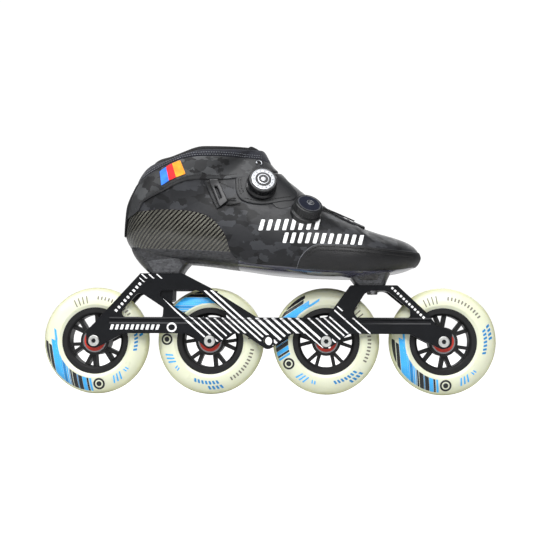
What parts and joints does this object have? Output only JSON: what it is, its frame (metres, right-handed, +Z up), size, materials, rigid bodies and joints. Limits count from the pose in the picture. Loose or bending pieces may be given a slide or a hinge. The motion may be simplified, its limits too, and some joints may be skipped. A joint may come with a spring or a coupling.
{
  "type": "inline speed skate",
  "caption": "Low-cut inline speed skate: carbon boot with turn-dial laces on a two-plate aluminium frame with wheels in a line.",
  "frame": {"origin": "on the ground, at the centre of the skate's outer box seen from above, close to midway between the four axles and on the middle plane of the wheels", "axes": "+X towards the toe, +Y towards the inner side of the foot, +Z up"},
  "size_m": [0.4252, 0.1004, 0.2317],
  "materials": {
    "urethane": "satin translucent urethane",
    "hub_plastic": "glass-filled nylon",
    "bearing_steel": "ground steel",
    "red_shield": "rubber-coated seal",
    "axle_alloy": "bare turned alloy",
    "fastener_steel": "zinc plated",
    "frame_alloy": "black anodised, white printed stripes",
    "carbon": "clear-coated carbon fibre",
    "microfibre": "satin microfibre with a grey camouflage print",
    "bumper_leather": "grained, stitched",
    "lining": "soft brushed lining",
    "tongue_fabric": "mesh",
    "ribbon": "woven ribbon in three colours",
    "eyelet_metal": "polished",
    "guide_plastic": "moulded",
    "lace": "coated steel cord",
    "dial_plastic": "moulded",
    "dial_cap": "silver lacquer"
  },
  "bodies": {
    "root": {"ankle_cuff": "microfibre", "ankle_padding": "lining", "bearing_inner_rings": "bearing_steel", "bearing_spacers": "axle_alloy", "carbon_shell": "carbon", "collar_band": "lining", "cuff_lace_hook": "guide_plastic", "dial_patch": "microfibre", "eyelet_ring": "eyelet_metal", "footbed": "tongue_fabric", "frame": "frame_alloy", "heel_strip": "microfibre", "lower_dial_base": "dial_plastic", "lower_dial_screw": "fastener_steel", "lower_lace": "lace", "mounting_bolts": "fastener_steel", "mounting_washers": "fastener_steel", "padded_liner": "lining", "ribbon_tab": "ribbon", "threaded_inserts": "fastener_steel", "toe_bumper": "bumper_leather", "tongue": "tongue_fabric", "upper": "microfibre", "upper_dial_base": "dial_plastic", "upper_dial_screw": "fastener_steel", "upper_lace": "lace", "vamp_lace_guide": "guide_plastic", "wheel_axles": "axle_alloy"},
    "rear_wheel": {"rear_wheel_tyre": "urethane", "rear_wheel_hub": "hub_plastic", "rear_bearing_outer_rings": "bearing_steel", "rear_bearing_shields": "red_shield"},
    "rear_balls": {"rear_bearing_balls_and_cages": "bearing_steel"},
    "mid_rear_wheel": {"mid_rear_wheel_tyre": "urethane", "mid_rear_wheel_hub": "hub_plastic", "mid_rear_bearing_outer_rings": "bearing_steel", "mid_rear_bearing_shields": "red_shield"},
    "mid_rear_balls": {"mid_rear_bearing_balls_and_cages": "bearing_steel"},
    "mid_front_wheel": {"mid_front_wheel_tyre": "urethane", "mid_front_wheel_hub": "hub_plastic", "mid_front_bearing_outer_rings": "bearing_steel", "mid_front_bearing_shields": "red_shield"},
    "mid_front_balls": {"mid_front_bearing_balls_and_cages": "bearing_steel"},
    "front_wheel": {"front_wheel_tyre": "urethane", "front_wheel_hub": "hub_plastic", "front_bearing_outer_rings": "bearing_steel", "front_bearing_shields": "red_shield"},
    "front_balls": {"front_bearing_balls_and_cages": "bearing_steel"},
    "upper_spool": {"upper_dial_spool": "dial_plastic"},
    "upper_knob": {"upper_dial_knob": "dial_plastic", "upper_dial_cap": "dial_cap"},
    "lower_spool": {"lower_dial_spool": "dial_plastic"},
    "lower_knob": {"lower_dial_knob": "dial_plastic", "lower_dial_cap": "dial_cap"}
  },
  "joints": [
    {"name": "rear_wheel_spin", "type": "hinge", "parent": "root", "child": "rear_wheel", "pos_m": [-0.16256, 0, 0.05], "axis": [0, 1, 0], "continuous": true},
    {"name": "rear_balls_spin", "type": "hinge", "parent": "root", "child": "rear_balls", "pos_m": [-0.16256, 0, 0.05], "axis": [0, 1, 0], "continuous": true},
    {"name": "mid_rear_wheel_spin", "type": "hinge", "parent": "root", "child": "mid_rear_wheel", "pos_m": [-0.05419, 0, 0.05], "axis": [0, 1, 0], "continuous": true},
    {"name": "mid_rear_balls_spin", "type": "hinge", "parent": "root", "child": "mid_rear_balls", "pos_m": [-0.05419, 0, 0.05], "axis": [0, 1, 0], "continuous": true},
    {"name": "mid_front_wheel_spin", "type": "hinge", "parent": "root", "child": "mid_front_wheel", "pos_m": [0.05419, 0, 0.05], "axis": [0, 1, 0], "continuous": true},
    {"name": "mid_front_balls_spin", "type": "hinge", "parent": "root", "child": "mid_front_balls", "pos_m": [0.05419, 0, 0.05], "axis": [0, 1, 0], "continuous": true},
    {"name": "front_wheel_spin", "type": "hinge", "parent": "root", "child": "front_wheel", "pos_m": [0.16256, 0, 0.05], "axis": [0, 1, 0], "continuous": true},
    {"name": "front_balls_spin", "type": "hinge", "parent": "root", "child": "front_balls", "pos_m": [0.16256, 0, 0.05], "axis": [0, 1, 0], "continuous": true},
    {"name": "upper_spool_turn", "type": "hinge", "parent": "root", "child": "upper_spool", "pos_m": [-0.0062, -0.0296, 0.1932], "axis": [0.2201, -0.8804, 0.4202], "continuous": true},
    {"name": "upper_knob_pull", "type": "slide", "parent": "upper_spool", "child": "upper_knob", "axis": [0.2201, -0.8804, 0.4202], "range_m": [0, 0.0025]},
    {"name": "lower_spool_turn", "type": "hinge", "parent": "root", "child": "lower_spool", "pos_m": [0.035, -0.0354, 0.1674], "axis": [0.2997, -0.6594, 0.6894], "continuous": true},
    {"name": "lower_knob_pull", "type": "slide", "parent": "lower_spool", "child": "lower_knob", "axis": [0.2997, -0.6594, 0.6894], "range_m": [0, 0.0025]}
  ],
  "couplings": [
    {"joint": "rear_balls_spin", "follows": "rear_wheel_spin", "ratio": 0.63},
    {"joint": "mid_rear_balls_spin", "follows": "mid_rear_wheel_spin", "ratio": 0.63},
    {"joint": "mid_front_balls_spin", "follows": "mid_front_wheel_spin", "ratio": 0.63},
    {"joint": "front_balls_spin", "follows": "front_wheel_spin", "ratio": 0.63}
  ]
}
